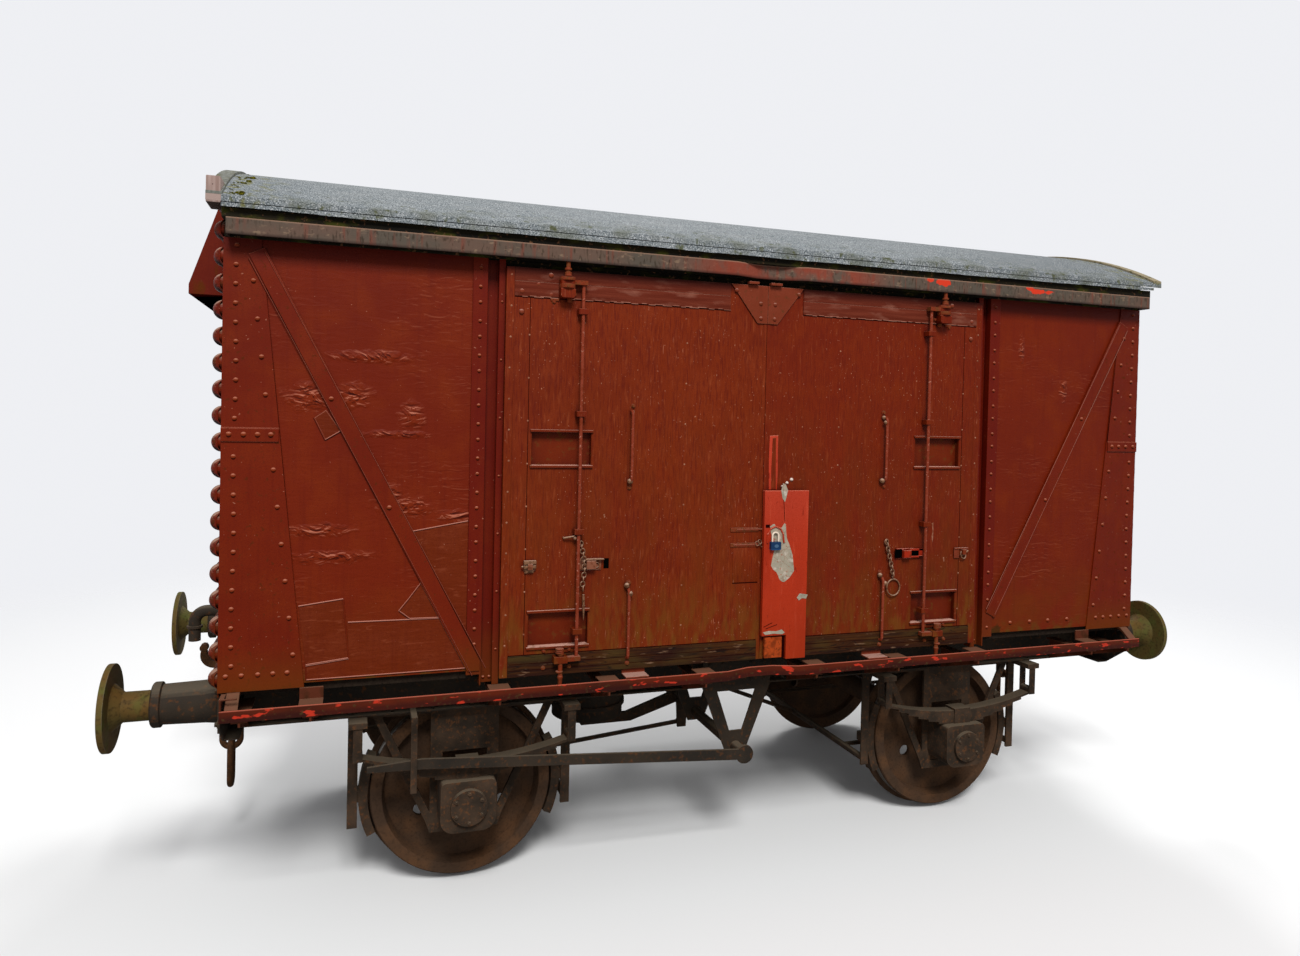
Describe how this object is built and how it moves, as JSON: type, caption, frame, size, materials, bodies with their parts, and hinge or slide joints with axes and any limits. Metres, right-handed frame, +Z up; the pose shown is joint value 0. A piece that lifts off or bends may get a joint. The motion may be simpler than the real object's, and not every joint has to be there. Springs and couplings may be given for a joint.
{
  "type": "covered goods van railroad boxcar",
  "caption": "Four-wheeled covered railroad goods van with arched roof, corrugated ends and plug doors on steel underframe.",
  "frame": {"origin": "under the middle of the van, level with the tips of the wheel flanges", "axes": "+X along the van, +Y across it, +Z up; the side with the security board faces -Y"},
  "size_m": [6.376, 2.638, 3.7719],
  "materials": {
    "side_red": "aged semi-gloss bauxite paint",
    "door_red": "aged semi-gloss bauxite paint over plywood",
    "rail_red": "chipped paint",
    "worn_timber": "weathered",
    "grey_timber": "weathered bare",
    "roof_felt": "mineral felt with moss",
    "floor_timber": "bare",
    "board_red": "gloss paint",
    "rusty_steel": "rusted",
    "padlock_blue": "worn",
    "frame_black": "matt, dirty",
    "cast_black": "dirty",
    "wheel_steel": "brake dust over rust"
  },
  "bodies": {
    "van": {"axleboxes": "cast_black", "axleguards": "frame_black", "brake_hangers": "frame_black", "brake_pipe": "frame_black", "brake_rods": "frame_black", "brake_shaft": "frame_black", "brake_shoes": "cast_black", "brake_v_hangers": "frame_black", "buffer_barrels": "frame_black", "buffer_heads": "rusty_steel", "cantrails": "worn_timber", "corner_sheets": "side_red", "couplings": "rusty_steel", "diagonal_braces": "side_red", "door_back_left": "door_red", "door_back_right": "door_red", "door_bottom_boards": "worn_timber", "door_foot_shelves": "door_red", "door_front_left": "door_red", "door_front_right": "door_red", "door_grips": "door_red", "door_gussets": "door_red", "door_latches": "door_red", "door_pillars": "side_red", "door_step_pans": "door_red", "door_top_boards": "worn_timber", "drawhooks": "rusty_steel", "eave_boards": "worn_timber", "end_sheets": "side_red", "end_ventilator_hoods": "side_red", "floor_planks": "floor_timber", "handbrake_guides": "frame_black", "handbrake_levers": "frame_black", "hasp_bars": "door_red", "headstocks": "frame_black", "leaf_springs": "frame_black", "lock_rod_brackets": "door_red", "lock_rod_cranks": "door_red", "lock_rods": "door_red", "lower_door_rails": "rail_red", "lower_rail_brackets": "rail_red", "padlock": "padlock_blue", "panel_patches": "side_red", "pipe_clamps": "frame_black", "roof": "roof_felt", "roof_end_battens": "grey_timber", "security_board": "board_red", "security_board_shoe": "rusty_steel", "side_panels": "side_red", "solebars": "frame_black", "spring_hangers": "frame_black", "underframe_crossbars": "frame_black", "underframe_longitudinals": "frame_black", "upper_door_rails": "rail_red", "vacuum_cylinder": "frame_black"},
    "wheelset_a": {"axle_a": "wheel_steel", "wheels_a": "wheel_steel"},
    "wheelset_b": {"axle_b": "wheel_steel", "wheels_b": "wheel_steel"}
  },
  "joints": [
    {"name": "wheelset_a_spin", "type": "hinge", "parent": "van", "child": "wheelset_a", "pos_m": [1.524, 0, 0.50425], "axis": [0, 1, 0], "continuous": true},
    {"name": "wheelset_b_spin", "type": "hinge", "parent": "van", "child": "wheelset_b", "pos_m": [-1.524, 0, 0.50425], "axis": [0, 1, 0], "continuous": true}
  ]
}
